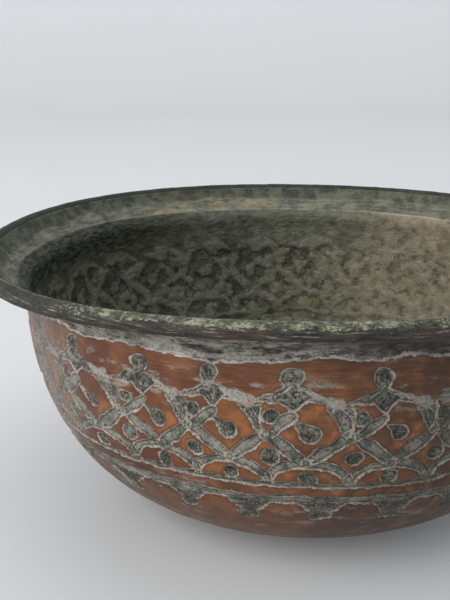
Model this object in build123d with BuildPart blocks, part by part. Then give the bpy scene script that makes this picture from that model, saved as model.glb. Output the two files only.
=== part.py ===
"""Hammered copper bowl with a wired, rolled rim and a tinned inside.

The bowl stands on Z = 0 with its axis on Z. Sizes are in millimetres, angles in degrees.
Every piece is turned about the axis, so its section is drawn once, as (radius, height), on
a plane through the axis.
"""

from build123d import *
import math
import os

# Driving dimensions
RIM_DIAMETER = 260.0  # over the rolled rim
HEIGHT = 107.0  # floor to the top of the rim
SHEET = 1.2  # copper sheet
TIN = 0.2  # tin coat inside
WIRE_DIAMETER = 3.9  # iron wire in the rolled rim
WIRE_PLAY = 0.05  # gap all round between the wire and the sheet rolled over it

# The sheet's outer face is a chain of tangent arcs, each with its own radius
BELLY_RADIUS = 111.6  # the wall's widest place, from the axis
BELLY_HEIGHT = 83.4
BOTTOM_CURVE = 70.0  # base to wall
WALL_CURVE = 100.0  # bottom to neck
NECK_CURVE = 4.5  # outward turn at the neck
COVE_CURVE = 23.0  # hollow flare between the neck and the roll
NECK_ABOVE_BELLY = 7.1
ROLL_TURN = 283.0  # how far the sheet goes round the wire
SECTION_ANGLE = 45.0  # from +X to the plane that the sections are drawn on


def step_from(center, distance, angle):
    """The point at a distance from a centre, at an angle from the radial direction."""
    turn = math.radians(angle)
    return (center[0] + distance * math.cos(turn), center[1] + distance * math.sin(turn))


def direction(start, end):
    """The angle of the line from one point to another."""
    return math.degrees(math.atan2(end[1] - start[1], end[0] - start[0]))


def meeting_point(center_a, reach_a, center_b, reach_b):
    """The point at given distances from two centres, on the left of the line from a to b."""
    gap = math.dist(center_a, center_b)
    share = (reach_a**2 - reach_b**2 + gap**2) / (2 * reach_a * gap)
    lean = math.degrees(math.acos(share))
    return step_from(center_a, reach_a, direction(center_a, center_b) + lean)


section_plane = Plane.XZ.rotated((0, 0, SECTION_ANGLE))

# Centres of the arcs, from the wall outward to the roll
wall_center = (BELLY_RADIUS - WALL_CURVE, BELLY_HEIGHT)
center_gap = WALL_CURVE - BOTTOM_CURVE
center_drop = BELLY_HEIGHT - BOTTOM_CURVE
wall_foot_angle = -math.degrees(math.asin(center_drop / center_gap))
bottom_center = step_from(wall_center, center_gap, wall_foot_angle)
neck_angle = math.degrees(math.asin(NECK_ABOVE_BELLY / WALL_CURVE))
neck_center = step_from(wall_center, WALL_CURVE + NECK_CURVE, neck_angle)
roll_inner = WIRE_DIAMETER / 2 + WIRE_PLAY
roll_outer = roll_inner + SHEET
roll_center = (RIM_DIAMETER / 2 - roll_outer, HEIGHT - roll_outer)
cove_center = meeting_point(
    neck_center, NECK_CURVE + COVE_CURVE, roll_center, roll_inner + COVE_CURVE
)

# Turns of the arcs: positive bends the sheet inward, negative outward
bottom_turn = 90 + wall_foot_angle
wall_turn = neck_angle - wall_foot_angle
cove_start = direction(neck_center, cove_center) - 90
cove_end = direction(cove_center, roll_center) + 90
neck_turn = cove_start - (neck_angle + 90)
cove_turn = cove_end - cove_start


def draw_body_line(depth):
    """A line inside the sheet, at a depth from its outer face, from the axis to the roll."""
    base = Line((0, depth), (bottom_center[0], depth))
    bottom = JernArc(base @ 1, base % 1, BOTTOM_CURVE - depth, bottom_turn)
    wall = JernArc(bottom @ 1, bottom % 1, WALL_CURVE - depth, wall_turn)
    neck = JernArc(wall @ 1, wall % 1, NECK_CURVE + depth, neck_turn)
    return JernArc(neck @ 1, neck % 1, COVE_CURVE - depth, cove_turn)


def draw_rolled_line(depth):
    """The same line carried on round the wire to the sheet's edge."""
    cove = draw_body_line(depth)
    return JernArc(cove @ 1, cove % 1, roll_inner + depth, -ROLL_TURN)


# One raised sheet: base, wall, neck and flare, with its edge rolled over the wire
with BuildPart() as bowl_shell:
    with BuildSketch(section_plane):
        with BuildLine():
            outer = draw_rolled_line(0)
            inner = draw_rolled_line(SHEET)
            Line((0, 0), (0, SHEET))
            Line(outer @ 1, inner @ 1)
        make_face()
    revolve(axis=Axis.Z)
bowl_shell.part.label = "bowl_shell"

# Iron wire ring that stiffens the rim, wholly inside the roll
with BuildPart() as rim_wire:
    with BuildSketch(section_plane):
        with Locations(roll_center):
            Circle(WIRE_DIAMETER / 2)
    revolve(axis=Axis.Z)
rim_wire.part.label = "rim_wire"

# Tin coat on the whole inside and the flare, up to the roll
with BuildPart() as tin_lining:
    with BuildSketch(section_plane):
        with BuildLine():
            backed = draw_body_line(SHEET)
            bare = draw_body_line(SHEET + TIN)
            Line((0, SHEET), (0, SHEET + TIN))
            Line(backed @ 1, bare @ 1)
        make_face()
    revolve(axis=Axis.Z)
tin_lining.part.label = "tin_lining"

os.makedirs("parts", exist_ok=True)
export_step(bowl_shell.part, "parts/bowl_shell.step")
export_step(rim_wire.part, "parts/rim_wire.step")
export_step(tin_lining.part, "parts/tin_lining.step")
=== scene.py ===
"""Looks of a hammered copper bowl: a chased band outside, wiped tin inside and a rolled rim.

The bowl's axis is +Z. Shapes are worked out in millimetres and made in metres.
Places on the wall are (u, v): u is millimetres round the belly, v is millimetres down the wall
from the belly. Angles are in degrees unless a name says otherwise.
"""

import math

import bpy
import numpy as np
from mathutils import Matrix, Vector


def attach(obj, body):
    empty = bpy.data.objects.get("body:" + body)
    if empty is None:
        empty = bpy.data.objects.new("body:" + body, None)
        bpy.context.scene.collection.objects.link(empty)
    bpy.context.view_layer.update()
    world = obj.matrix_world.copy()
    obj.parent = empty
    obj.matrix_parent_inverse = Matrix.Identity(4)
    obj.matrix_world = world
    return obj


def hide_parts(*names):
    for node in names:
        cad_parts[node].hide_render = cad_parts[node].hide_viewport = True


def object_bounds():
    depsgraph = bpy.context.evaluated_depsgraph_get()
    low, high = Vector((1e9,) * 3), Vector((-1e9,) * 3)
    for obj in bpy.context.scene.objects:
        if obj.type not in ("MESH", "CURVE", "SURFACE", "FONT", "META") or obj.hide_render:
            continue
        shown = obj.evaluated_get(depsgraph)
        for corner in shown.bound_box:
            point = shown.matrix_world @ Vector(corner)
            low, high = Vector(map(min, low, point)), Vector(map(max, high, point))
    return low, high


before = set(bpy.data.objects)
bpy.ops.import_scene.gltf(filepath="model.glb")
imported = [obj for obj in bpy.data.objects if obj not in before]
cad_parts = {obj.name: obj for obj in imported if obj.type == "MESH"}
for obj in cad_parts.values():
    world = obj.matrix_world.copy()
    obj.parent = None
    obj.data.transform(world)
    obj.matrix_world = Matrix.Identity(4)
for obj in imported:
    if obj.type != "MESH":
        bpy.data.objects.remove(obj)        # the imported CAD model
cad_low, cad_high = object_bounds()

MM = 0.001
RIM_DIAMETER = (cad_high.x - cad_low.x) / MM
HEIGHT = cad_high.z / MM

# The sheet's section, as the CAD model has it
SHEET = 1.2
TIN = 0.2
WIRE_RADIUS = 1.95
ROLL_INNER = 2.0
BELLY_RADIUS = 111.6
BELLY_HEIGHT = 83.4
BOTTOM_CURVE = 70.0
WALL_CURVE = 100.0
NECK_CURVE = 4.5
COVE_CURVE = 23.0
NECK_ABOVE_BELLY = 7.1
ROLL_TURN = 283.0

# Distances from the axis, on the lining
FLARE_FROM = 113.2  # where the inside ends and the flare begins, at its least
LIP_FROM = 120.0  # the dirty lip beside the bead
LINING_EDGE = 122.6  # where the relief has died away, so that the lining meets the roll

# The chased band
REPEATS = 26
PITCH = 27.0
FIRST_AXIS = -96.5  # where one bud stands, as an angle from +X
COLUMNS = REPEATS * 40
WANDER_SEED = 29179
WANDER = 1.7  # how far a bud may stand from its even place, in degrees
NOISE_CELLS = 32  # noise repeats after this many lumps

# The rim isn't quite level: its height goes up and down round the bowl
SWAY_TWICE = 1.31
SWAY_TWICE_AT = 20.5
SWAY_THRICE = 0.83

# Where the ageing differs round the bowl, as angles from +X
BLOOM_SHEEN_AT = 195.0  # grey bloom on the outside, partly a real deposit, partly a painted sheen where the flank is seen at a glancing angle
CRUST_AT = -101.0  # yellow-green crust on the rim
WARM_LIT_AT = 20.0  # cleaner, warmer side of the inside, which faces the window; its brighter crest highlight and darker flare are painted light and shade
SHADED_INSIDE_AT = 188.0  # side of the inside that faces away from the window, darkened with painted shade
TAN_AT = 108.0  # tan streaks on the flare
SHADY_AT = 145.0  # darker side of the rim
SHADE_SIDE_AT = -20.0  # side of the outside away from the window, darkened and greyed with painted shade

# The camera
CAMERA_PLACE = (-32.5, -402.0, 189.9)
CAMERA_TILT = 74.39  # from straight down
LENS_LENGTH = 61.1


# ---- noise

def noise(points, size, seed):
    """Smooth noise from -1 to 1 at points, with lumps of about the given size."""
    table = np.random.default_rng(seed).uniform(-1.0, 1.0, (NOISE_CELLS,) * 3)
    place = np.asarray(points, float) / size
    cell = np.floor(place).astype(int)
    share = place - cell
    share = share * share * (3.0 - 2.0 * share)
    total = np.zeros(len(place))
    for corner in np.ndindex(2, 2, 2):
        weight = np.ones(len(place))
        for axis in range(3):
            part = share[:, axis]
            weight *= part if corner[axis] else 1.0 - part
        index = (cell + np.array(corner)) % NOISE_CELLS
        total += weight * table[index[:, 0], index[:, 1], index[:, 2]]
    return total


def smooth(low, high, value):
    """0 below low, 1 above high and a smooth step between."""
    share = np.clip((value - low) / (high - low), 0.0, 1.0)
    return share * share * (3.0 - 2.0 * share)


# ---- section

def polar(center, radius, angles):
    """Points at angles on a circle, as an array of (radius, height)."""
    turn = np.radians(np.atleast_1d(angles))
    return np.stack([center[0] + radius * np.cos(turn), center[1] + radius * np.sin(turn)], 1)


def unit_vectors(angles):
    """Unit vectors at angles."""
    return polar((0.0, 0.0), 1.0, angles)


def direction(start, end):
    """The angle of the line from one point to another."""
    return math.degrees(math.atan2(end[1] - start[1], end[0] - start[0]))


def meeting_point(center_a, reach_a, center_b, reach_b):
    """The point at given distances from two centres, on the left of the line from a to b."""
    gap = math.dist(center_a, center_b)
    share = (reach_a**2 - reach_b**2 + gap**2) / (2 * reach_a * gap)
    lean = math.degrees(math.acos(share))
    return tuple(polar(center_a, reach_a, direction(center_a, center_b) + lean)[0])


wall_center = (BELLY_RADIUS - WALL_CURVE, BELLY_HEIGHT)
center_gap = WALL_CURVE - BOTTOM_CURVE
wall_foot = -math.degrees(math.asin((BELLY_HEIGHT - BOTTOM_CURVE) / center_gap))
bottom_center = tuple(polar(wall_center, center_gap, wall_foot)[0])
neck_angle = math.degrees(math.asin(NECK_ABOVE_BELLY / WALL_CURVE))
neck_center = tuple(polar(wall_center, WALL_CURVE + NECK_CURVE, neck_angle)[0])
ROLL_OUTER = ROLL_INNER + SHEET
roll_center = (RIM_DIAMETER / 2 - ROLL_OUTER, HEIGHT - ROLL_OUTER)
cove_center = meeting_point(
    neck_center, NECK_CURVE + COVE_CURVE, roll_center, ROLL_INNER + COVE_CURVE
)
cove_start = direction(neck_center, cove_center) - 180
cove_end = direction(cove_center, roll_center)
ROLL_START = cove_end + 180
ROLL_END = ROLL_START - ROLL_TURN


def steps(start, end, step):
    """Evenly spaced numbers from start to end, both included, about a step apart."""
    count = max(1, int(round(abs(end - start) / step)))
    return np.linspace(start, end, count + 1)


def arc_angles(start, end, radius, spacing):
    """Angles along an arc at about the given spacing in millimetres."""
    return steps(start, end, math.degrees(spacing / radius))


def body_section(depth, spacing):
    """The sheet's line at a depth from its outer face, axis to roll, and its outward normals.

    spacing is a dictionary of millimetres between points on each stretch.
    """
    base_edge = bottom_center[0]
    flat = steps(0.0, base_edge, spacing["base"])
    base = np.stack([flat, np.full(len(flat), depth)], 1)
    stretches = [(base, np.tile([0.0, -1.0], (len(flat), 1)))]
    bends = (
        ("bottom", bottom_center, BOTTOM_CURVE - depth, -90.0, wall_foot, 1),
        ("wall", wall_center, WALL_CURVE - depth, wall_foot, neck_angle, 1),
        ("neck", neck_center, NECK_CURVE + depth, neck_angle + 180, cove_start + 180, -1),
        ("cove", cove_center, COVE_CURVE - depth, cove_start, cove_end, 1),
    )
    for name, center, radius, start, end, side in bends:
        angles = arc_angles(start, end, radius, spacing[name])[1:]
        stretches.append((polar(center, radius, angles), side * unit_vectors(angles)))
    return tuple(np.concatenate([s[i] for s in stretches]) for i in range(2))


def roll_section(radius, start, end, spacing):
    """Points round the roll, with normals away from its centre."""
    angles = arc_angles(start, end, radius, spacing)
    return polar(roll_center, radius, angles), unit_vectors(angles)


def down_the_wall(radius, height):
    """v of a point of the outer face: millimetres along the wall below the belly."""
    on_wall = WALL_CURVE * np.arctan2(BELLY_HEIGHT - height, radius - wall_center[0])
    wall_length = -WALL_CURVE * math.radians(wall_foot)
    bend = math.radians(90 + wall_foot)
    turn = np.arctan2(radius - bottom_center[0], bottom_center[1] - height)
    on_bottom = wall_length + BOTTOM_CURVE * (bend - turn)
    on_base = wall_length + BOTTOM_CURVE * bend + bottom_center[0] - radius
    v = np.where(on_wall > wall_length, on_bottom, on_wall)
    return np.where(radius < bottom_center[0], on_base, v)


# ---- chased pattern

def bud_positions():
    """Angle of each bud axis from +X, unevenly spaced as by hand."""
    wander = np.random.default_rng(WANDER_SEED).uniform(-WANDER, WANDER, REPEATS)
    return FIRST_AXIS + 360.0 / REPEATS * np.arange(REPEATS) + wander


def along_band(angle):
    """Place along the band in repeats: whole numbers fall on the bud axes."""
    axes = np.sort(bud_positions())
    axes = np.concatenate([axes[-2:] - 360, axes, axes[:2] + 360])
    turned = (angle - axes[2]) % 360 + axes[2]
    return np.interp(turned, axes, np.arange(len(axes), dtype=float))


def to_circle(u, v, center, radius):
    """Distance to a disc, negative inside, as in all the shapes below."""
    return np.hypot(u - center[0], v - center[1]) - radius


def along_stroke(u, v, start, end):
    """How far along a straight stroke a place is, 0 to 1, and how far from its middle line."""
    du, dv = end[0] - start[0], end[1] - start[1]
    share = np.clip(((u - start[0]) * du + (v - start[1]) * dv) / (du * du + dv * dv), 0, 1)
    return share, np.hypot(u - start[0] - share * du, v - start[1] - share * dv)


def to_segment(u, v, start, end, half_start, half_end):
    """Distance to a stroke that may taper."""
    share, away = along_stroke(u, v, start, end)
    return away - (half_start + share * (half_end - half_start))


def to_polygon(u, v, corners):
    """Distance to a polygon."""
    nearest = np.full(len(u), 1e9)
    inside = np.zeros(len(u), bool)
    for (au, av), (bu, bv) in zip(corners, corners[1:] + corners[:1]):
        nearest = np.minimum(nearest, to_segment(u, v, (au, av), (bu, bv), 0.0, 0.0))
        crosses = (av > v) != (bv > v)
        rise = bv - av if bv != av else 1e-9
        inside ^= crosses & (u < au + (bu - au) * (v - av) / rise)
    return np.where(inside, -nearest, nearest)


def to_leaf(u, v, start, end, half_tip, half_middle):
    """Distance to a stroke that is widest in its middle."""
    share, away = along_stroke(u, v, start, end)
    return away - (half_tip + (half_middle - half_tip) * np.sin(math.pi * share))


def to_arch(u, v, center, half_width, height, half_band):
    """Distance to the upper half of an elliptical band."""
    x, y = (u - center[0]) / half_width, (center[1] - v) / height
    reach = np.hypot(x, y)
    slope = np.hypot(x / half_width, y / height) / np.maximum(reach, 1e-6)
    away = np.abs(reach - 1.0) / np.maximum(slope, 1e-6)
    return np.where(v < center[1] + 1.0, away, 9.0) - half_band


# One repeat of the band about its bud's axis: places are (u, v), widths are half widths
DOTS = [((-6.2, 13.0), 2.2), ((6.4, 18.9), 2.6), ((-6.4, 28.2), 2.6), ((5.9, 36.2), 2.5)]
DOT_TAIL = ((5.6, 18.0), (2.4, 15.2), 1.8, 0.4)
BUD_HEAD = ((0.0, -0.6), 2.8)
BUD_ARMS = [  # (start, end, width at the start, width at the end)
    ((0.0, 0.5), (0.2, 4.2), 1.4, 2.3),
    ((0.2, 3.8), (-5.2, 6.6), 1.8, 1.3),
    ((-5.2, 6.6), (-10.8, 7.9), 1.3, 0.3),
    ((0.2, 3.8), (5.6, 6.0), 1.8, 1.3),
    ((5.6, 6.0), (12.2, 7.4), 1.3, 0.3),
]
SMEARED_ARM = ((5.0, 5.0), (13.5, 8.0), 0.6, 2.4)
ROSETTE = [(-4.4, 6.3), (0.8, 2.6), (5.6, 6.3), (0.8, 10.6)]
TOP_NODE = (0.7, 12.6)
LEFT_NODE = (-6.8, 19.6)
LOW_NODE = (5.8, 30.0)
RIGHT_NODE = (18.0, 19.4)
WEDGE_TIP = (13.4, 10.4)
LATTICE = [  # (start, end, width at the ends, width in the middle)
    (TOP_NODE, LEFT_NODE, 1.2, 1.7),
    (LEFT_NODE, LOW_NODE, 1.3, 2.0),
    (LOW_NODE, RIGHT_NODE, 1.3, 2.0),
    (RIGHT_NODE, WEDGE_TIP, 0.9, 1.4),
]
WEDGE = [(-16.8, 9.4), (-9.4, 9.6), (-9.8, 18.8)]
ARCH = ((6.0, 39.0), 13.3, 8.6, 1.35)  # (centre, reach to a side, height, width of the band)
PENDANT = [  # round lumps under the lower strip
    ((10.4, 53.2), 3.7), ((7.2, 50.8), 2.7), ((13.8, 51.2), 2.9), ((9.2, 57.4), 2.3),
    ((12.2, 57.0), 2.0), ((4.0, 49.4), 1.4), ((17.2, 49.6), 1.3),
]

# The strips below the buds: (v of the middle, half width, how uneven it is)
UPPER_STRIP = (39.9, 1.1, 0.4)
LOWER_STRIP = (47.3, 1.9, 0.9)
STRIP_GROOVE = 46.6  # v of a line chased along the lower strip
NECK_LINE = -6.3  # v where the neck's patina ends, on average
FAR = 30.0  # farther than any place is from the patina


def bud_unit(u, v, spread):
    """One repeat of the band, with every stroke widened by spread.

    Returns the distance to its patina, the distance to the nearest stroke's own edge, how
    densely it is hatched and how smeared it is.
    """
    dots = [to_circle(u, v, *dot) for dot in DOTS]
    tail = to_segment(u, v, *DOT_TAIL)
    head = to_circle(u, v, *BUD_HEAD)
    bud = np.minimum.reduce([head] + [to_segment(u, v, *arm) for arm in BUD_ARMS])
    rosette = to_polygon(u, v, ROSETTE)
    wedge = to_polygon(u, v, WEDGE)
    strokes = [to_leaf(u, v, *band) for band in LATTICE] + [wedge, to_arch(u, v, *ARCH)]
    pendant = np.minimum.reduce([to_circle(u, v, *lump) for lump in PENDANT])
    dense = np.minimum.reduce(dots + [head + 0.5, rosette, pendant + 0.6])
    medium = np.minimum(wedge + 0.5, tail)
    patina = np.minimum.reduce(dots + strokes + [bud, rosette, tail, pendant]) - spread
    edge = np.abs(np.stack(strokes + [rosette]) - spread).min(axis=0)
    hatched = np.maximum(smooth(0.2, -0.4, dense), 0.6 * smooth(0.2, -0.4, medium))
    smeared = smooth(2.0, -1.6, to_segment(u, v, *SMEARED_ARM))
    return patina, edge, hatched, smeared


def to_strip(v, strip, unevenness):
    """Distance to one of the strips below the buds."""
    middle, half_width, uneven = strip
    return np.abs(v - middle) - half_width - uneven * unevenness


def chased(angle, v, place, looseness=1.0):
    """What bud_unit gives, at each place of the whole wall, with the strips below the buds.

    place holds the points in space, which the unevenness of the hand work is read from.
    """
    repeat = along_band(angle)
    wobble_u = 1.1 * noise(place, 26.0, 11) + 0.6 * noise(place, 9.0, 12)
    wobble_v = 1.0 * noise(place, 24.0, 13) + 0.55 * noise(place, 8.0, 14)
    wobble_u = looseness * (wobble_u + 0.5 * noise(place, 3.6, 16) + 0.3 * noise(place, 1.8, 19))
    wobble_v = looseness * (wobble_v + 0.5 * noise(place, 3.4, 17) + 0.3 * noise(place, 1.7, 20))
    spread = 0.45 + 0.5 * noise(place, 5.0, 18)
    patina, edge = np.full(len(v), FAR), np.full(len(v), FAR)
    hatched, smeared = np.zeros(len(v)), np.zeros(len(v))
    for shift in (-1, 0, 1):
        u = (repeat - np.round(repeat) - shift) * PITCH + wobble_u
        unit = bud_unit(u, v + wobble_v, spread)
        patina, edge = np.minimum(patina, unit[0]), np.minimum(edge, unit[1])
        hatched, smeared = np.maximum(hatched, unit[2]), np.maximum(smeared, unit[3])
    line_v = v + wobble_v
    upper = to_strip(line_v, UPPER_STRIP, noise(place, 6.0, 27))
    lower = to_strip(line_v, LOWER_STRIP, noise(place, 7.0, 15))
    patina = np.minimum.reduce([patina, upper, lower])
    groove = np.abs(line_v - STRIP_GROOVE)
    edge = np.minimum.reduce([edge, np.abs(upper), np.abs(lower), groove])
    return patina, edge, hatched, smeared


def off_axis(points):
    """Distance of points from the bowl's axis."""
    return np.hypot(points[:, 0], points[:, 1])


def facing(points, towards):
    """1 on the side that faces an angle, fading to 0 at right angles to it and at the axis."""
    turn = math.radians(towards)
    along = points[:, 0] * math.cos(turn) + points[:, 1] * math.sin(turn)
    return np.maximum(along / np.maximum(off_axis(points), 0.95 * BELLY_RADIUS), 0.0)


def neck_border(v, place):
    """Distance below the ragged lower edge of the neck's dark patina: negative inside it."""
    edge = NECK_LINE + 1.9 * noise(place * [1, 1, 0.2], 38.0, 21) + 1.7 * noise(place, 13.0, 22)
    edge += 0.6 * noise(place, 4.5, 23) + 0.4 * noise(place, 2.0, 24)
    return v - edge


# ---- shape of the sheet

def rim_drop(angle, height):
    """Change in height that makes the rim wavy: 0 at its highest places and below the belly."""
    turn = np.radians(angle)
    sway = SWAY_THRICE * np.sin(3 * turn)
    sway -= SWAY_TWICE * np.cos(2 * turn - math.radians(SWAY_TWICE_AT))
    highest = SWAY_TWICE + SWAY_THRICE
    return np.minimum(sway - highest, 0.0) * smooth(BELLY_HEIGHT - 3.0, BELLY_HEIGHT + 12.0, height)


def ring_points(section, columns):
    """Every point of a turned section, ring by ring: positions, angles from +X."""
    angles = 360.0 * np.arange(columns) / columns
    turn = np.radians(angles)
    radius, height = section[:, 0], section[:, 1]
    x = np.outer(radius, np.cos(turn)).ravel()
    y = np.outer(radius, np.sin(turn)).ravel()
    z = np.repeat(height, columns)
    return np.stack([x, y, z], 1), np.tile(angles, len(section))


class Skin:
    """Rings of points, each joined to the ring before."""

    def __init__(self):
        self.points, self.angles, self.parts, self.rings = [], [], [], []
        self.count = 0

    def add(self, section, normals, columns, part):
        """Adds a section's rings, with a number of columns."""
        points, angles = ring_points(section, columns)
        directions, _ = ring_points(normals, columns)
        for i in range(len(section)):
            self.rings.append((self.count + i * columns, columns))
        self.points.append(np.concatenate([points, directions], 1))
        self.angles.append(angles)
        self.parts.append(np.full(len(points), part))
        self.count += len(points)

    def add_point(self, radius_height, normal, part):
        """Adds a ring of one point, on the axis."""
        self.add(np.array([radius_height]), np.array([normal]), 1, part)

    def gathered(self):
        """Positions, outward directions, angles from +X and part names of all points."""
        both = np.concatenate(self.points)
        return both[:, :3], both[:, 3:], np.concatenate(self.angles), np.concatenate(self.parts)

    def join(self, closed=False):
        """Faces between neighbouring rings; closed joins the last ring to the first."""
        pairs = list(zip(self.rings, self.rings[1:]))
        if closed:
            pairs.append((self.rings[-1], self.rings[0]))
        faces = []
        for (a, count_a), (b, count_b) in pairs:
            faces += join_rings(a, count_a, b, count_b)
        return faces


def join_rings(a, count_a, b, count_b):
    """Faces between two rings, whose counts are alike, halved, doubled or 1."""
    if count_a < count_b:
        return [face[::-1] for face in join_rings(b, count_b, a, count_a)]
    i, j = np.arange(count_a), np.arange(count_b)
    next_i, next_j = (i + 1) % count_a, (j + 1) % count_b
    if count_b == 1:
        fans = [(a + i, a + next_i, np.full(count_a, b))]
    elif count_a == count_b:
        fans = [(a + i, a + next_i, b + next_i, b + i)]
    else:
        left, middle, right = 2 * j, 2 * j + 1, (2 * j + 2) % count_a
        fans = [
            (a + left, a + middle, b + j),
            (a + middle, b + next_j, b + j),
            (a + middle, a + right, b + next_j),
        ]
    return np.concatenate([np.stack(fan, 1) for fan in fans]).tolist()


def add_object(name, data):
    """An object in the scene that shows a mesh, a light or a camera."""
    made = bpy.data.objects.new(name, data)
    bpy.context.scene.collection.objects.link(made)
    return made


def add_mesh(name, points, faces, material):
    """A smooth mesh object; points are in metres."""
    mesh = bpy.data.meshes.new(name)
    mesh.from_pydata(points, [], faces)
    mesh.polygons.foreach_set("use_smooth", np.ones(len(mesh.polygons), bool))
    mesh.materials.append(material)
    return add_object(name, mesh)


def make_piece(name, points, faces, fields, material, body="root"):
    """A piece of the bowl, with named numbers on its vertices; points are in millimetres."""
    piece = add_mesh(name, (np.asarray(points) * MM).tolist(), faces, material)
    piece.data.validate()
    for field, values in fields.items():
        layer = piece.data.attributes.new(field, "FLOAT", "POINT")
        layer.data.foreach_set("value", np.asarray(values, np.float32))
    piece.data.update()
    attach(piece, body)
    return piece


# ---- copper shell

def add_graded(skin, section, normals, grades, part):
    """Adds a section from near the axis outward, with more columns as it gets wider.

    grades are (length from the axis where it ends, columns, least gap between rings).
    """
    length = np.concatenate([[0.0], np.cumsum(np.hypot(*np.diff(section, axis=0).T))])
    start, last = 0.0, 0.0
    for end, columns, gap in grades:
        for i in np.where((length > start) & (length <= end))[0]:
            if length[i] - last >= 0.98 * gap:
                skin.add(section[i:i + 1], normals[i:i + 1], columns, part)
                last = length[i]
        start = end


def add_back(skin):
    """The hidden face between copper and tin, from the roll back to the axis."""
    coarse = {"base": 13.0, "bottom": 9.0, "wall": 6.0, "neck": 1.6, "cove": 2.5}
    back, normals = body_section(SHEET, coarse)
    back, normals = back[::-1], normals[::-1]
    skin.add(back[1:2], normals[1:2], COLUMNS // 2, "hidden")
    skin.add(back[2:-1], normals[2:-1], COLUMNS // 4, "hidden")
    skin.add_point(back[-1], normals[-1], "hidden")


def shell_skin():
    """The shell's rings: from the base's middle up outside, round the roll and back inside."""
    skin = Skin()
    fine = {"base": 0.6, "bottom": 0.62, "wall": 0.62, "neck": 0.5, "cove": 1.0}
    section, normals = body_section(0.0, fine)
    skin.add_point(section[0], normals[0], "outside")
    grades = (
        (13.0, COLUMNS // 16, 3.0), (26.0, COLUMNS // 8, 2.4), (50.0, COLUMNS // 4, 1.8),
        (99.0, COLUMNS // 2, 1.2), (1000.0, COLUMNS, 0.0),
    )
    add_graded(skin, section, normals, grades, "outside")
    tucked, tucked_normals = roll_section(ROLL_INNER, ROLL_START, ROLL_END, 0.7)
    skin.add(tucked[1:], -tucked_normals[1:], COLUMNS // 2, "hidden")
    bead, bead_normals = roll_section(ROLL_OUTER, ROLL_END, ROLL_START, 0.36)
    skin.add(bead, bead_normals, COLUMNS, "bead")
    add_back(skin)
    return skin


def shell_fields(points, angles, parts):
    """What the chasing and the patina are at each point of the shell."""
    radius = off_axis(points)
    v = down_the_wall(radius, points[:, 2])
    outside = parts == "outside"
    patina, edge, hatched, smeared = chased(angles, v, points)
    border = neck_border(v, points)
    covered, far_above = -3.0, -12.0  # patina and border of the bead and the hidden faces
    patina = np.where(outside, np.minimum(patina, border), covered)
    hatched = np.where(outside & (border > 0.5), hatched, 0.0)
    around = np.degrees(np.arctan2(points[:, 2] - roll_center[1], radius - roll_center[0]))
    bead = (parts == "bead").astype(float)
    return {
        "patina": np.clip(patina, -6.0, 6.0),
        "stroke_edge": np.where(border > 0.5, np.minimum(edge, 3.0), 3.0),
        "hatched": hatched,
        "smeared": smeared,
        "border": np.where(outside, np.clip(border, far_above, 12.0), far_above),
        "bead": bead,
        "round_bead": np.where(bead > 0, around, 0.0) / 90.0,
        "down": v / 10.0,
        "bloom_sheen_side": facing(points, BLOOM_SHEEN_AT),
        "crusty": facing(points, CRUST_AT),
        "shady": facing(points, SHADY_AT),
        "shade_side": facing(points, SHADE_SIDE_AT),
    }


def hammering(points, size, seed):
    """Shallow facets left by the hammer, from 0 to 1."""
    facets = noise(points, size, seed) + 0.5 * noise(points, size * 0.55, seed + 1)
    return np.clip(0.5 + 0.6 * facets, 0.0, 1.0)


def wall_relief(points, fields):
    """Depth of the chasing, the hatching and the hammer marks on the wall, in millimetres."""
    patina, hatched = fields["patina"], fields["hatched"]
    sunk = 0.42 * smooth(0.1, -0.5, patina)
    groove = 0.24 * smooth(0.45, 0.05, np.abs(patina + 0.35))
    strokes = np.abs(noise(points * [1.0, 1.0, 0.45], 0.95, 31))
    stipple = 1.0 + noise(points, 1.1, 32)
    inside = smooth(0.0, -0.6, patina)
    cuts = 0.16 * hatched * strokes + 0.07 * inside * (1 - hatched) * stipple
    cuts += 0.16 * inside * smooth(0.5, 0.1, fields["stroke_edge"])
    facets = 0.16 * hammering(points, 10.0, 33)
    neck = smooth(-0.5, -2.5, fields["border"]) * (0.15 + 0.15 * noise(points, 2.2, 34))
    return np.maximum(sunk + groove + cuts + facets + neck, 0.0)


def bead_relief(points, fields):
    """Depth of the crust's pits, the turned lines and the dents on the rolled rim."""
    around = fields["round_bead"] * 90.0
    crust = smooth(5.0, 25.0, around) * (0.10 + 0.10 * noise(points, 3.0, 35))
    lines = np.cos(np.radians((around + 62.0) * 360.0 / 13.0))
    ridged = smooth(-22.0, -32.0, around) * smooth(-96.0, -84.0, around)
    tooling = 0.10 * ridged * (1 + lines) * (0.7 + 0.3 * noise(points, 9.0, 36))
    dents = 0.12 * hammering(points, 7.0, 37)
    return np.maximum(0.08 + crust + tooling + dents, 0.0)


def make_shell(material):
    """The copper sheet as one closed skin: chased wall, crusted bead and plain hidden faces."""
    skin = shell_skin()
    points, normals, angles, parts = skin.gathered()
    fields = shell_fields(points, angles, parts)
    depth = np.where(parts == "outside", wall_relief(points, fields), 0.0)
    depth = np.where(parts == "bead", bead_relief(points, fields), depth)
    shaped = points - normals * depth[:, None]
    shaped[:, 2] += rim_drop(angles, points[:, 2])
    shaped[:, 2] = np.maximum(shaped[:, 2], 0.0)
    shell = make_piece("hammered_shell", shaped, skin.join(), fields, material)
    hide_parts("bowl_shell")


# ---- tin lining

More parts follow.
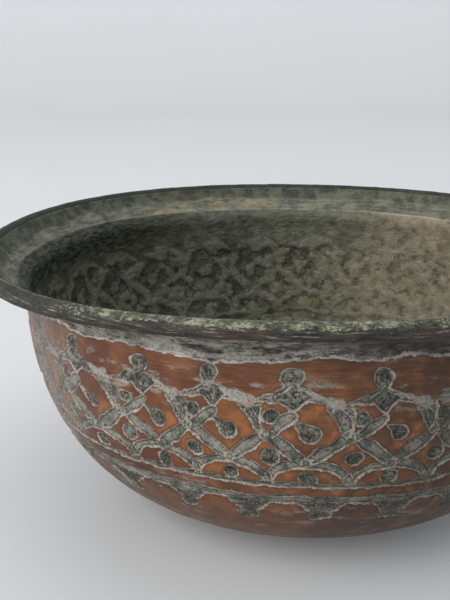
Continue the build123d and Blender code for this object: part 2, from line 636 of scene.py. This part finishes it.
def lining_skin():
    """The lining's rings: its bare face from the axis to the roll, and back along the copper."""
    skin = Skin()
    fine = {"base": 0.8, "bottom": 1.1, "wall": 1.0, "neck": 0.8, "cove": 0.8}
    bare, normals = body_section(SHEET + TIN, fine)
    skin.add_point(bare[0], -normals[0], "bare")
    grades = (
        (13.0, COLUMNS // 16, 2.4), (26.0, COLUMNS // 8, 1.6), (45.0, COLUMNS // 4, 1.1),
        (1000.0, COLUMNS // 2, 0.0),
    )
    add_graded(skin, bare, -normals, grades, "bare")
    back, back_normals = body_section(SHEET, fine)
    skin.add(back[-1:], back_normals[-1:], COLUMNS // 2, "hidden")
    add_back(skin)
    return skin


def lining_fields(points, angles):
    """The chased band seen from behind, as bumps, and where the flare is."""
    radius = off_axis(points)
    v = down_the_wall(radius + SHEET + TIN, points[:, 2])
    patina = chased(angles, v, points, 2.0)[0] + 0.5 * noise(points, 2.6, 48)
    raised = smooth(1.3, -1.1, patina) * smooth(-1.0, 5.0, v) * smooth(64.0, 52.0, v)
    dark = facing(points, SHADED_INSIDE_AT)
    # On the shaded side the flare's edge moves out, so the neck there takes the inside's painted
    # shade.
    flare_edge = FLARE_FROM + 2.0 * dark + 0.3 * noise(points, 12.0, 47)
    flare = smooth(-0.4, 0.4, radius - flare_edge) * (points[:, 2] > BELLY_HEIGHT)
    lip_edge = LIP_FROM + 1.3 * noise(points, 14.0, 45) + 0.6 * noise(points, 4.0, 46)
    return {
        "raised": raised,
        "flare": flare,
        # distance from the flare's edge, where a painted highlight runs along the crest
        "crest_highlight": np.where(points[:, 2] > BELLY_HEIGHT, radius - flare_edge, -9.0),
        "crevice": np.where((v > 1.0) & (v < 60.0), np.clip(patina, -4.0, 4.0), 4.0),
        "down": v / 10.0,
        "lip": smooth(-0.8, 0.8, radius - lip_edge) * flare,
        "warm_lit_side": facing(points, WARM_LIT_AT),
        "dark": dark,
        "shady": facing(points, SHADY_AT),
        "back": facing(points, TAN_AT),
    }


def lining_relief(points, fields):
    """Height of the bumps and the hammer marks on the lining, in millimetres."""
    worked = smooth(-4.0, 4.0, fields["down"] * 10.0) * smooth(66.0, 50.0, fields["down"] * 10.0)
    lumps = 0.3 * (1 + noise(points, 6.5, 41)) + 0.3 * (1 + noise(points, 3.4, 42))
    facets = 0.28 * hammering(points, 9.0, 43)
    inside = worked * (0.8 * fields["raised"] + lumps) + facets
    flared = 0.12 * hammering(points, 6.0, 44)
    edge = smooth(LINING_EDGE, LINING_EDGE - 1.6, off_axis(points))
    return edge * (inside * (1 - fields["flare"]) + flared * fields["flare"])


def make_lining(material):
    """The wiped tin coat as one closed skin, with the bumps that the chasing leaves inside."""
    skin = lining_skin()
    points, normals, angles, parts = skin.gathered()
    fields = lining_fields(points, angles)
    height = np.where(parts == "bare", lining_relief(points, fields), 0.0)
    shaped = points + normals * height[:, None]
    shaped[:, 2] += rim_drop(angles, points[:, 2])
    lining = make_piece("wiped_tin_lining", shaped, skin.join(), fields, material)
    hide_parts("tin_lining")


# ---- rim wire

def make_wire(material):
    """The iron wire inside the roll, following the wavy rim."""
    skin = Skin()
    around = steps(360.0, 0.0, 30.0)[:-1]
    section = polar(roll_center, WIRE_RADIUS, around)
    skin.add(section, section - roll_center, COLUMNS // 4, "wire")
    points, _, angles, _ = skin.gathered()
    points[:, 2] += rim_drop(angles, points[:, 2])
    wire = make_piece("drawn_wire_ring", points, skin.join(closed=True), {}, material)
    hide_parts("rim_wire")


# ---- materials

def paint(red, green, blue):
    """A screen colour, 0 to 255, as Blender's linear colour."""
    shares = [channel / 255.0 for channel in (red, green, blue)]
    linear = [s / 12.92 if s <= 0.04045 else ((s + 0.055) / 1.055) ** 2.4 for s in shares]
    return (*linear, 1.0)


class Recipe:
    """A material being put together from nodes."""

    def __init__(self, name):
        self.material = bpy.data.materials.new(name)
        self.material.use_nodes = True
        self.tree = self.material.node_tree
        self.tree.nodes.clear()
        output = self.new("OutputMaterial")
        self.shader = self.new("BsdfPrincipled")
        self.tree.links.new(self.shader.outputs[0], output.inputs[0])
        self.place = self.new("TexCoord").outputs["Object"]
        self.fields = {}

    def new(self, kind):
        """A new node of a kind."""
        return self.tree.nodes.new("ShaderNode" + kind)

    def put(self, socket, value):
        """Links a node's output to a socket, or sets it to a number or a screen colour."""
        if isinstance(value, bpy.types.NodeSocket):
            self.tree.links.new(value, socket)
        else:
            socket.default_value = paint(*value) if isinstance(value, tuple) else value

    def field(self, name):
        """A named number stored on the mesh."""
        if name not in self.fields:
            node = self.new("Attribute")
            node.attribute_name = name
            self.fields[name] = node.outputs["Fac"]
        return self.fields[name]

    def grain(self, size, detail=3.0, stretch=(1.0, 1.0, 1.0), roughness=0.55):
        """Noise about 0.5, with lumps of a size in millimetres, drawn out by stretch."""
        scaled = self.new("VectorMath")
        scaled.operation = "MULTIPLY"
        self.put(scaled.inputs[0], self.place)
        scaled.inputs[1].default_value = [1.0 / (size * MM * s) for s in stretch]
        node = self.new("TexNoise")
        self.put(node.inputs["Vector"], scaled.outputs[0])
        node.inputs["Scale"].default_value = 1.0
        node.inputs["Detail"].default_value = detail
        node.inputs["Roughness"].default_value = roughness
        return node.outputs["Fac"]

    def add_grains(self, broad, mottle, speck):
        """Three grains that the whole material shares, with the size of their lumps."""
        self.broad = self.grain(broad, 3.0)
        self.mottle = self.grain(mottle, 5.0, roughness=0.65)
        self.speck = self.grain(speck, 4.0, roughness=0.7)

    def calc(self, operation, first, second=0.0, third=0.0):
        """One step of arithmetic."""
        node = self.new("Math")
        node.operation = operation
        for socket, value in zip(node.inputs, (first, second, third)):
            self.put(socket, value)
        return node.outputs[0]

    def add_times(self, value, factor, base):
        """A value times a factor, added to a base."""
        return self.calc("MULTIPLY_ADD", value, factor, base)

    def stir(self, base, grain, strength):
        """A base made uneven by a grain, which is about 0.5."""
        return self.add_times(self.calc("SUBTRACT", grain, 0.5), strength, base)

    def both(self, *shares):
        """The product of several shares."""
        total = shares[0]
        for share in shares[1:]:
            total = self.calc("MULTIPLY", total, share)
        return total

    def rise(self, value, low, high, start=0.0, end=1.0):
        """start where the value is below low, end above high, smooth between."""
        node = self.new("MapRange")
        node.interpolation_type = "SMOOTHSTEP"
        given = (value, low, high, start, end)
        if low > high:
            given = (value, high, low, end, start)
        for socket, number in zip(node.inputs, given):
            self.put(socket, number)
        return node.outputs[0]

    def between(self, value, low, full_from, full_to, high):
        """1 between the two middle numbers, falling smoothly to 0 at the outer two."""
        return self.both(self.rise(value, low, full_from), self.rise(value, high, full_to))

    def mix(self, share, first, second):
        """One colour laid over another by a share from 0 to 1."""
        node = self.new("Mix")
        node.data_type = "RGBA"
        for index, value in ((0, share), (6, first), (7, second)):
            self.put(node.inputs[index], value)
        return node.outputs[2]

    def two_tone(self, value, low, high, first, second):
        """One colour where the value is below low, another above high, blended between."""
        return self.mix(self.rise(value, low, high), first, second)

    def over(self, base, colour, *shares):
        """A colour laid over a base, by the product of several shares."""
        return self.mix(self.both(*shares), base, colour)

    def layer(self, base, colour, value, low, high, most):
        """A colour laid over a base where a value rises, with the most that it covers."""
        return self.over(base, colour, self.rise(value, low, high), most)

    def dress(self, colour, metallic, roughness, specular=0.5):
        """Gives the shader its colour, metal and gloss."""
        self.put(self.shader.inputs["Base Color"], colour)
        self.put(self.shader.inputs["Metallic"], metallic)
        self.put(self.shader.inputs["Roughness"], roughness)
        self.shader.inputs["Specular IOR Level"].default_value = specular

    def bump(self, height, depth, strength=1.0):
        """Fine relief from a height, with a depth in millimetres."""
        node = self.new("Bump")
        self.put(node.inputs["Height"], height)
        node.inputs["Distance"].default_value = depth * MM
        node.inputs["Strength"].default_value = strength
        self.put(self.shader.inputs["Normal"], node.outputs[0])


# ---- copper

def base_scuffs(r):
    """Worn metal under the base, with scratches both ways."""
    one_way = r.grain(0.7, 2.0, (9.0, 0.8, 1.0))
    other_way = r.grain(0.7, 2.0, (0.9, 7.0, 1.0))
    scratches = r.calc("MAXIMUM", one_way, other_way)
    return r.two_tone(scratches, 0.62, 0.7, (82, 62, 50), (142, 104, 80))


def bare_copper(r):
    """Bare metal: orange in the chased cells, browner and brushed in the plain bands."""
    down, bloom_sheen_side = r.field("down"), r.field("bloom_sheen_side")
    streaks = r.grain(1.1, 4.0, (9.0, 9.0, 0.5))
    cell = r.two_tone(r.mottle, 0.32, 0.65, (166, 107, 67), (130, 86, 60))
    band = r.two_tone(streaks, 0.32, 0.7, (140, 94, 63), (106, 69, 49))
    copper = r.over(band, cell, r.rise(r.add_times(r.mottle, 0.3, down), 0.55, 1.05))
    copper = r.layer(copper, (80, 48, 42), r.broad, 0.46, 0.62, 0.5)
    copper = r.layer(copper, (92, 69, 55), r.field("patina"), 1.5, 0.2, 0.65)
    copper = r.layer(copper, (88, 65, 51), down, 4.6, 6.4, 0.55)
    copper = r.layer(copper, base_scuffs(r), down, 11.6, 12.6, 0.85)
    # Painted shade, darker and greyer, on the side away from the window.
    shade_side = r.both(r.rise(r.field("shade_side"), 0.05, 0.6), r.rise(r.mottle, 0.3, 0.6), 0.7)
    copper = r.over(copper, (74, 59, 51), shade_side)
    reddened = r.both(r.rise(bloom_sheen_side, 0.4, 0.9), r.rise(r.grain(17.0, 2.0), 0.42, 0.58), 0.7)
    return r.over(copper, (84, 46, 40), reddened)


def chased_patina(r, ragged, strokes):
    """Grey-green ground, dark hatching, the outline of each stroke over the others, and painted
    shadow lines along the chased outlines.
    """
    hatched = r.field("hatched")
    ground = r.two_tone(r.mottle, 0.38, 0.6, (88, 88, 79), (146, 139, 127))
    ground = r.over(ground, (60, 63, 54), hatched, 0.5)
    ground = r.layer(ground, (58, 58, 51), r.speck, 0.5, 0.6, 0.65)
    ground = r.layer(ground, (154, 149, 140), r.grain(9.0, 3.0), 0.5, 0.64, 0.5)
    ground = r.over(ground, (31, 32, 27), strokes, r.add_times(hatched, 0.6, 0.35))
    # A painted shadow line just inside the pale outline, where the chased groove falls into shade.
    line = r.both(r.between(ragged, -1.1, -0.85, -0.6, -0.4), r.rise(r.speck, 0.42, 0.5))
    ground = r.over(ground, (38, 42, 36), line, 0.7)
    # A painted shadow line beside each stroke's pale edge.
    within = r.rise(ragged, -0.45, -0.75)
    edge = r.stir(r.field("stroke_edge"), r.speck, 1.0)
    beside = r.both(r.between(edge, 0.3, 0.45, 0.6, 0.85), within, 0.65)
    ground = r.over(ground, (40, 44, 38), beside)
    ridge = r.both(r.rise(edge, 0.32, 0.14), within, r.rise(r.mottle, 0.4, 0.56, 0.15, 0.8))
    return r.over(ground, (170, 165, 150), ridge)


def wall_surface(r, ragged, rough_edge, strokes):
    """Bare metal, the patina in the chasing, and a pale outline between the two."""
    surface = r.over(bare_copper(r), chased_patina(r, ragged, strokes), r.rise(ragged, 0.1, -0.1))
    thick = r.stir(0.27, r.mottle, 1.3)
    off_line = r.calc("ABSOLUTE", r.calc("ADD", ragged, 0.08))
    outline = r.rise(r.calc("SUBTRACT", thick, off_line), 0.0, 0.18)
    outline = r.both(outline, r.rise(rough_edge, 0.55, 0.8, 0.3, 1.0))
    pale = r.two_tone(r.speck, 0.4, 0.6, (184, 176, 162), (122, 116, 104))
    surface = r.over(surface, pale, outline)
    return r.layer(surface, (54, 46, 40), r.field("down"), 3.7, 4.3, 0.2)


def smear_share(r):
    """How much whitish smear lies by the shoulders, low down and on one arm of a bud."""
    down = r.field("down")
    smear = r.rise(r.grain(6.0, 5.0, (2.0, 2.0, 0.7), 0.68), 0.54, 0.64)
    by_band = r.between(down, -0.4, 0.4, 0.8, 1.5)
    by_base = r.rise(down, 3.4, 4.8, 0.0, 0.75)
    smear = r.both(smear, r.calc("MAXIMUM", by_band, by_base), r.rise(r.speck, 0.3, 0.55), 0.85)
    on_arm = r.stir(r.field("smeared"), r.mottle, 1.8)
    on_arm = r.both(r.rise(on_arm, 0.5, 0.8), r.rise(r.speck, 0.35, 0.5), 0.9)
    return r.calc("MAXIMUM", smear, on_arm)


def bloom_and_sheen_share(r):
    """How much grey bloom lies on the wall, mostly on one side of the bowl: partly a real whitish
    deposit, partly a painted sheen where that flank is seen at a glancing angle.
    """
    bloom_sheen_side = r.field("bloom_sheen_side")
    faint = r.both(r.rise(bloom_sheen_side, 0.75, 1.0), 0.15)
    strong = r.both(r.rise(bloom_sheen_side, 0.87, 0.985), 0.88)
    blotted = r.rise(r.calc("ADD", r.mottle, r.broad), 0.85, 1.1, 0.55, 1.0)
    return r.both(r.calc("MAXIMUM", faint, strong), blotted)


def neck_scale(r):
    """The dark, finely mottled patina of the neck and the back of the flare."""
    flecks = r.grain(1.3, 5.0, (2.0, 2.0, 0.8), 0.7)
    scale = r.two_tone(flecks, 0.42, 0.56, (42, 40, 35), (132, 126, 116))
    lines = r.grain(0.8, 3.0, (30.0, 30.0, 0.6))
    scale = r.layer(scale, (24, 24, 20), lines, 0.55, 0.63, 0.6)
    scale = r.layer(scale, (154, 148, 140), r.mottle, 0.46, 0.6, 0.65)
    scale = r.layer(scale, (160, 154, 140), r.speck, 0.6, 0.68, 0.7)
    # Painted shade on the side away from the window.
    return r.layer(scale, (32, 31, 27), r.field("shade_side"), 0.15, 0.55, 0.8)


def neck_over(r, surface):
    """Dark mottled patina above the neck's ragged line, with pale scum along it."""
    edge = r.stir(r.field("border"), r.grain(2.2, 5.0, (1.6, 1.6, 1.0), 0.65), 3.4)
    surface = r.over(surface, neck_scale(r), r.rise(edge, 0.1, -0.1))
    drift = r.grain(10.0, 5.0, (2.2, 2.2, 0.7), 0.65)
    scum = r.both(r.between(edge, -5.0, -0.8, 0.0, 0.3), r.rise(drift, 0.44, 0.58), 0.9)
    pale = r.two_tone(r.speck, 0.45, 0.6, (166, 161, 152), (108, 104, 94))
    surface = r.over(surface, pale, scum)
    streak = r.rise(r.grain(5.0, 5.0, (3.0, 3.0, 0.6), 0.6), 0.52, 0.62)
    streak = r.both(streak, r.rise(edge, 0.0, -0.5))
    surface = r.over(surface, (30, 30, 26), streak, r.calc("SUBTRACT", 1.0, r.field("bead")), 0.7)
    below = r.both(r.rise(edge, 2.6, 0.2), r.rise(edge, 0.0, 0.3), r.rise(drift, 0.56, 0.66))
    surface = r.over(surface, (150, 141, 137), below, 0.8)
    border_line = r.rise(r.calc("ABSOLUTE", edge), 0.5, 0.2)
    border_line = r.both(border_line, r.rise(r.mottle, 0.38, 0.58, 0.35, 1.0))
    surface = r.over(surface, (190, 183, 174), border_line)
    # Painted shade on the side away from the window.
    return r.layer(surface, (44, 41, 38), r.field("shade_side"), 0.1, 0.8, 0.42)


def bead_lines(r, around, crusty):
    """The bead's dark metal, with brown, red, pale and black lines low down."""
    level = (12.0, 12.0, 0.8)
    lines = r.grain(1.0, 4.0, level, 0.7)
    thin_lines = r.grain(0.7, 4.0, level, 0.7)
    low_side = r.rise(around, 0.4, 0.1)
    rim = r.two_tone(r.mottle, 0.35, 0.65, (30, 32, 27), (56, 58, 48))
    brown = r.both(r.rise(lines, 0.44, 0.54), r.rise(crusty, 0.6, 0.9), low_side, 0.8)
    rim = r.over(rim, (70, 54, 49), brown)
    red = r.rise(r.grain(4.0, 4.0, (4.0, 4.0, 1.0)), 0.48, 0.6)
    rim = r.over(rim, (94, 58, 46), red, r.rise(crusty, 0.955, 0.99), low_side, 0.8)
    rim = r.over(rim, (140, 135, 124), r.rise(thin_lines, 0.58, 0.64), low_side, 0.75)
    rim = r.over(rim, (20, 20, 17), r.rise(thin_lines, 0.45, 0.38), low_side, 0.8)
    return r.layer(rim, (32, 36, 29), r.field("shady"), 0.3, 0.85, 0.35)


def crust_over(r, rim, around, crusty):
    """A belt of yellow-green crust, high on the bead's front."""
    wandering = r.stir(around, r.mottle, 1.2)
    belt = r.between(wandering, 0.16, 0.42, 0.9, 1.08)
    patches = r.rise(r.grain(3.0, 5.0, (4.0, 4.0, 1.0), 0.7), 0.34, 0.58)
    patches = r.both(r.rise(crusty, 0.85, 0.985), patches)
    cover = r.both(belt, r.add_times(patches, 0.6, r.rise(crusty, 0.78, 0.96, 0.0, 0.4)))
    fine = r.grain(0.6, 4.0, (1.8, 1.8, 1.0), 0.7)
    blotches = r.grain(1.6, 5.0, (3.0, 3.0, 1.0), 0.7)
    crust = r.two_tone(blotches, 0.42, 0.6, (72, 75, 57), (142, 143, 120))
    crust = r.layer(crust, (42, 46, 35), fine, 0.54, 0.42, 0.75)
    crust = r.layer(crust, (58, 62, 48), crusty, 0.75, 0.3, 0.45)
    return r.layer(rim, crust, r.add_times(cover, 0.45, fine), 0.6, 0.8, 0.95)


def bead_surface(r):
    """The rolled rim: lines and crust, a painted highlight along its upper edge, and dark turned
    grooves below.
    """
    around, crusty = r.field("round_bead"), r.field("crusty")
    rim = crust_over(r, bead_lines(r, around, crusty), around, crusty)
    # A painted highlight along the bead's upper edge, on its crusted front.
    edge = r.rise(r.calc("ABSOLUTE", r.calc("SUBTRACT", around, 1.08)), 0.07, 0.02)
    edge = r.both(edge, r.rise(crusty, 0.1, 0.5), r.rise(r.mottle, 0.35, 0.55, 0.3, 1.0), 0.7)
    rim = r.over(rim, (150, 148, 128), edge)
    turned = r.calc("COSINE", r.add_times(around, 43.5, 30.0))
    grooves = r.both(r.rise(turned, 0.0, 0.8), r.rise(around, -0.22, -0.34))
    return r.over(rim, (26, 27, 24), grooves, 0.55)


def copper_material():
    """Aged copper: bare metal in the cells, grey-green patina in the chasing, crusted bead."""
    r = Recipe("aged_copper")
    r.add_grains(26.0, 5.0, 1.0)
    bead = r.field("bead")
    upright = r.rise(r.grain(0.55, 2.0, (1.0, 1.0, 2.6)), 0.52, 0.6)
    level = r.rise(r.grain(0.55, 2.0, (2.6, 2.6, 1.0)), 0.54, 0.62)
    strokes = r.calc("MAXIMUM", upright, level)
    rough_edge = r.add_times(r.mottle, 0.5, r.speck)
    ragged = r.add_times(r.calc("SUBTRACT", rough_edge, 0.75), 1.3, r.field("patina"))

    surface = wall_surface(r, ragged, rough_edge, strokes)
    smear, bloom = smear_share(r), bloom_and_sheen_share(r)
    whitish = r.two_tone(r.speck, 0.5, 0.6, (164, 158, 150), (120, 117, 108))
    surface = r.over(surface, whitish, smear)
    # Grey bloom, partly a painted sheen, where the metal is turned off.
    surface = r.over(surface, r.mix(strokes, (136, 128, 122), (98, 92, 86)), bloom)
    surface = r.over(neck_over(r, surface), bead_surface(r), bead)

    clean = r.calc("SUBTRACT", 1.0, r.calc("MAXIMUM", smear, bloom))
    metal = r.both(r.rise(ragged, 0.1, 0.5), r.calc("SUBTRACT", 1.0, bead), clean)
    rough = r.stir(r.rise(metal, 0.0, 1.0, 0.7, 0.42), r.mottle, 0.3)
    r.dress(surface, r.both(metal, 0.6), rough, 0.3)
    cuts = r.both(strokes, r.field("hatched"), -0.8)
    height = r.add_times(r.calc("SUBTRACT", 1.0, metal), r.speck, cuts)
    r.bump(r.add_times(r.mottle, 0.4, height), 0.35, 0.8)
    return r.material


# ---- tin, iron and table

def hollows_over(r, film, beige):
    """Darker between the bumps, in the cracks beside them and in small pits."""
    down, crevice = r.field("down"), r.field("crevice")
    hollow = r.rise(r.add_times(r.mottle, 1.3, r.both(r.field("raised"), 0.5)), 0.85, 0.5)
    hollow = r.both(hollow, r.rise(down, -0.4, 0.6), r.rise(beige, 0.2, 0.9, 0.6, 0.2))
    film = r.over(film, (46, 48, 41), hollow)
    crack = r.stir(r.calc("SUBTRACT", crevice, 0.5), r.speck, 2.4)
    crack = r.both(r.rise(r.calc("ABSOLUTE", crack), 0.9, 0.1), r.rise(r.mottle, 0.38, 0.54))
    film = r.over(film, (30, 31, 26), crack, r.rise(beige, 1.0, 0.2, 0.05, 0.55))
    pits = r.rise(r.grain(3.4, 4.0, (1.3, 1.3, 0.9), 0.6), 0.46, 0.36)
    pits = r.both(pits, r.rise(down, 0.1, 1.0), r.rise(down, 6.5, 5.0))
    film = r.over(film, (34, 35, 29), pits, r.rise(beige, 0.1, 1.0, 0.75, 0.45))
    deepest = r.calc("ADD", crevice, r.speck)
    return r.layer(film, (112, 112, 92), deepest, -0.6, -1.1, 0.35)


def streaks_over(r, film):
    """Streaks high on the inside, painted near-black shade high on its side away from the window,
    and greener patches below.
    """
    down = r.field("down")
    upper = r.rise(r.add_times(r.mottle, 0.8, down), 1.1, 0.2)
    streaks = r.grain(2.4, 5.0, (2.5, 2.5, 0.8), 0.7)
    streaky = r.two_tone(streaks, 0.4, 0.6, (66, 70, 58), (104, 106, 90))
    film = r.over(film, streaky, upper, r.rise(r.field("warm_lit_side"), 0.9, 0.4), 0.7)
    # Painted shade, near black, high on the side away from the window.
    shade_mottle = r.grain(1.4, 5.0, (3.5, 3.5, 0.8), 0.7)
    shaded = r.two_tone(shade_mottle, 0.42, 0.6, (18, 20, 15), (70, 74, 60))
    film = r.over(film, shaded, upper, r.rise(r.field("dark"), 0.15, 0.7), 0.92)
    green = r.rise(r.grain(9.0, 5.0, roughness=0.7), 0.52, 0.64)
    return r.over(film, (122, 124, 88), green, r.rise(down, 1.0, 3.0), 0.45)


def hammered_film(r):
    """The inside's film: grey-green, sandy on the cleaner side and worn on the bumps."""
    film = r.two_tone(r.mottle, 0.36, 0.62, (71, 74, 62), (106, 107, 90))
    film = r.layer(film, (62, 66, 56), r.broad, 0.4, 0.6, 0.55)
    beige = r.rise(r.add_times(r.broad, 0.8, r.field("warm_lit_side")), 0.5, 1.3)
    sandy = r.two_tone(r.mottle, 0.32, 0.6, (106, 98, 80), (150, 138, 115))
    film = r.over(film, sandy, beige, 0.85)
    worn = r.both(r.rise(r.field("raised"), 0.4, 0.9), r.rise(r.speck, 0.35, 0.6))
    film = r.over(film, (132, 132, 119), worn, 0.42)
    return streaks_over(r, hollows_over(r, film, beige))


def flared_film(r):
    """The flare's film: tan at the back, streaked round the bowl, with a dirty lip and painted
    shade on the window side.
    """
    film = r.two_tone(r.mottle, 0.35, 0.65, (80, 84, 72), (124, 124, 108))
    tan = r.grain(4.0, 5.0, (2.5, 2.5, 1.0), 0.65)
    tan = r.calc("ADD", tan, r.rise(r.field("back"), 0.9, 0.99, -0.3, 0.06))
    film = r.layer(film, (150, 137, 108), tan, 0.46, 0.64, 0.8)
    drawn = r.grain(1.1, 5.0, (9.0, 9.0, 0.8), 0.7)
    film = r.layer(film, (60, 64, 52), drawn, 0.52, 0.62, 0.6)
    film = r.layer(film, (144, 141, 122), drawn, 0.46, 0.38, 0.45)
    dirty = r.two_tone(r.mottle, 0.4, 0.6, (58, 62, 51), (98, 102, 85))
    dirty = r.layer(dirty, (112, 112, 94), r.speck, 0.56, 0.66, 0.5)
    dirty = r.layer(dirty, (34, 38, 30), r.field("shady"), 0.3, 0.85, 0.3)
    film = r.over(film, dirty, r.field("lip"), 0.9)
    # Painted shade on the side of the flare that the window lights most.
    return r.layer(film, (84, 80, 62), r.field("warm_lit_side"), 0.6, 0.95, 0.25)


def tin_material():
    """Old wiped tin: grey-green film, darker in the hollows, one side cleaner and warmer; painted
    shade and highlight.
    """
    r = Recipe("wiped_tin")
    r.add_grains(30.0, 6.0, 1.3)
    film = r.over(hammered_film(r), flared_film(r), r.field("flare"))
    # A painted highlight along the crest where the flare turns down: brighter on the window side,
    # fainter on the shaded side.
    crest_highlight = r.rise(r.calc("ABSOLUTE", r.field("crest_highlight")), 0.9, 0.25)
    crest_highlight = r.both(crest_highlight, r.rise(r.mottle, 0.4, 0.55, 0.3, 1.0))
    bright = r.two_tone(r.field("warm_lit_side"), 0.5, 0.9, (134, 131, 116), (172, 158, 142))
    film = r.over(film, bright, crest_highlight, r.rise(r.field("dark"), 0.9, 0.3, 0.4, 0.9))
    film = r.layer(film, (38, 40, 34), r.speck, 0.58, 0.7, 0.5)
    spots = r.rise(r.grain(2.4, 5.0, (1.5, 1.5, 0.8), 0.7), 0.6, 0.66)
    film = r.over(film, (146, 145, 126), spots, r.rise(r.field("down"), 0.2, 0.8), 0.6)
    metallic = r.rise(r.mottle, 0.4, 0.7, 0.1, 0.35)
    rough = r.rise(r.speck, 0.3, 0.7, 0.45, 0.68)
    r.dress(film, metallic, rough, 0.18)
    lumps = r.grain(3.4, 4.0, (1.3, 1.3, 0.9), 0.6)
    r.bump(r.add_times(lumps, 1.8, r.speck), 0.8, 0.9)
    return r.material


def wire_material():
    """Black drawn iron wire with rust in places."""
    r = Recipe("drawn_iron")
    rust = r.rise(r.grain(3.0, 4.0), 0.5, 0.65)
    colour = r.mix(rust, (52, 50, 48), (96, 58, 40))
    r.dress(colour, r.rise(rust, 0.0, 1.0, 0.8, 0.1), r.rise(rust, 0.0, 1.0, 0.45, 0.85))
    r.bump(r.grain(0.6, 4.0), 0.1)
    return r.material


def stage_material():
    """A plain pale table top and backdrop, with a faint glow of their own."""
    r = Recipe("pale_table")
    height = r.new("SeparateXYZ")
    r.put(height.inputs[0], r.place)
    shade = r.mix(r.grain(220.0, 2.0), (200, 202, 201), (205, 207, 206))
    shade = r.over(shade, (207, 208, 212), r.rise(height.outputs["Z"], 0.0, 0.5))
    r.dress(shade, 0.0, 0.5)
    r.shader.inputs["Emission Color"].default_value = paint(246, 250, 255)
    r.shader.inputs["Emission Strength"].default_value = 0.06
    return r.material


# ---- stage, light and camera

def make_stage():
    """A pale floor that sweeps up into a backdrop, wide enough for every view."""
    bend, near, far, half_width, top = 0.5, -3.0, 2.2, 3.5, 2.6
    line = [(near, 0.0), (far - bend, 0.0)]
    line += [
        (far - bend + bend * math.sin(math.radians(a)), bend - bend * math.cos(math.radians(a)))
        for a in range(6, 91, 6)
    ]
    line.append((far, top))
    points = [(x, y, z) for y, z in line for x in (-half_width, half_width)]
    faces = [(2 * i, 2 * i + 1, 2 * i + 3, 2 * i + 2) for i in range(len(line) - 1)]
    sweep = add_mesh("table_sweep", points, faces, stage_material())


def soft_light(name, place, target, size, power, colour):
    """A square area light that looks at a point."""
    lamp = bpy.data.lights.new(name, "AREA")
    lamp.shape, lamp.size, lamp.energy, lamp.color = "SQUARE", size, power, colour
    holder = add_object(name, lamp)
    holder.location = place
    aim = Vector(target) - Vector(place)
    holder.rotation_euler = aim.to_track_quat("-Z", "Y").to_euler()


def light_scene():
    """Soft daylight from the upper left, with a pale room all round."""
    middle = (0.0, 0.0, 0.06)
    soft_light("window", (-1.75, -1.1, 1.1), middle, 2.0, 44.0, (0.98, 0.99, 1.0))
    soft_light("ceiling", (0.4, 0.3, 2.4), middle, 2.6, 14.0, (1.0, 1.0, 1.0))
    world = bpy.data.worlds.new("pale_room")
    world.use_nodes = True
    background = world.node_tree.nodes["Background"]
    background.inputs["Color"].default_value = paint(232, 233, 238)
    background.inputs["Strength"].default_value = 0.88
    bpy.context.scene.world = world
    bpy.context.scene.view_settings.view_transform = "Standard"


def make_camera():
    """A hand-held camera, a little left of the bowl's middle and looking down at it."""
    lens = bpy.data.cameras.new("camera")
    lens.lens = LENS_LENGTH
    lens.clip_start = 0.02
    camera = add_object("camera", lens)
    camera.location = [coordinate * MM for coordinate in CAMERA_PLACE]
    camera.rotation_euler = (math.radians(CAMERA_TILT), 0.0, 0.0)
    bpy.context.scene.camera = camera


make_shell(copper_material())
make_lining(tin_material())
make_wire(wire_material())
make_stage()
light_scene()
make_camera()
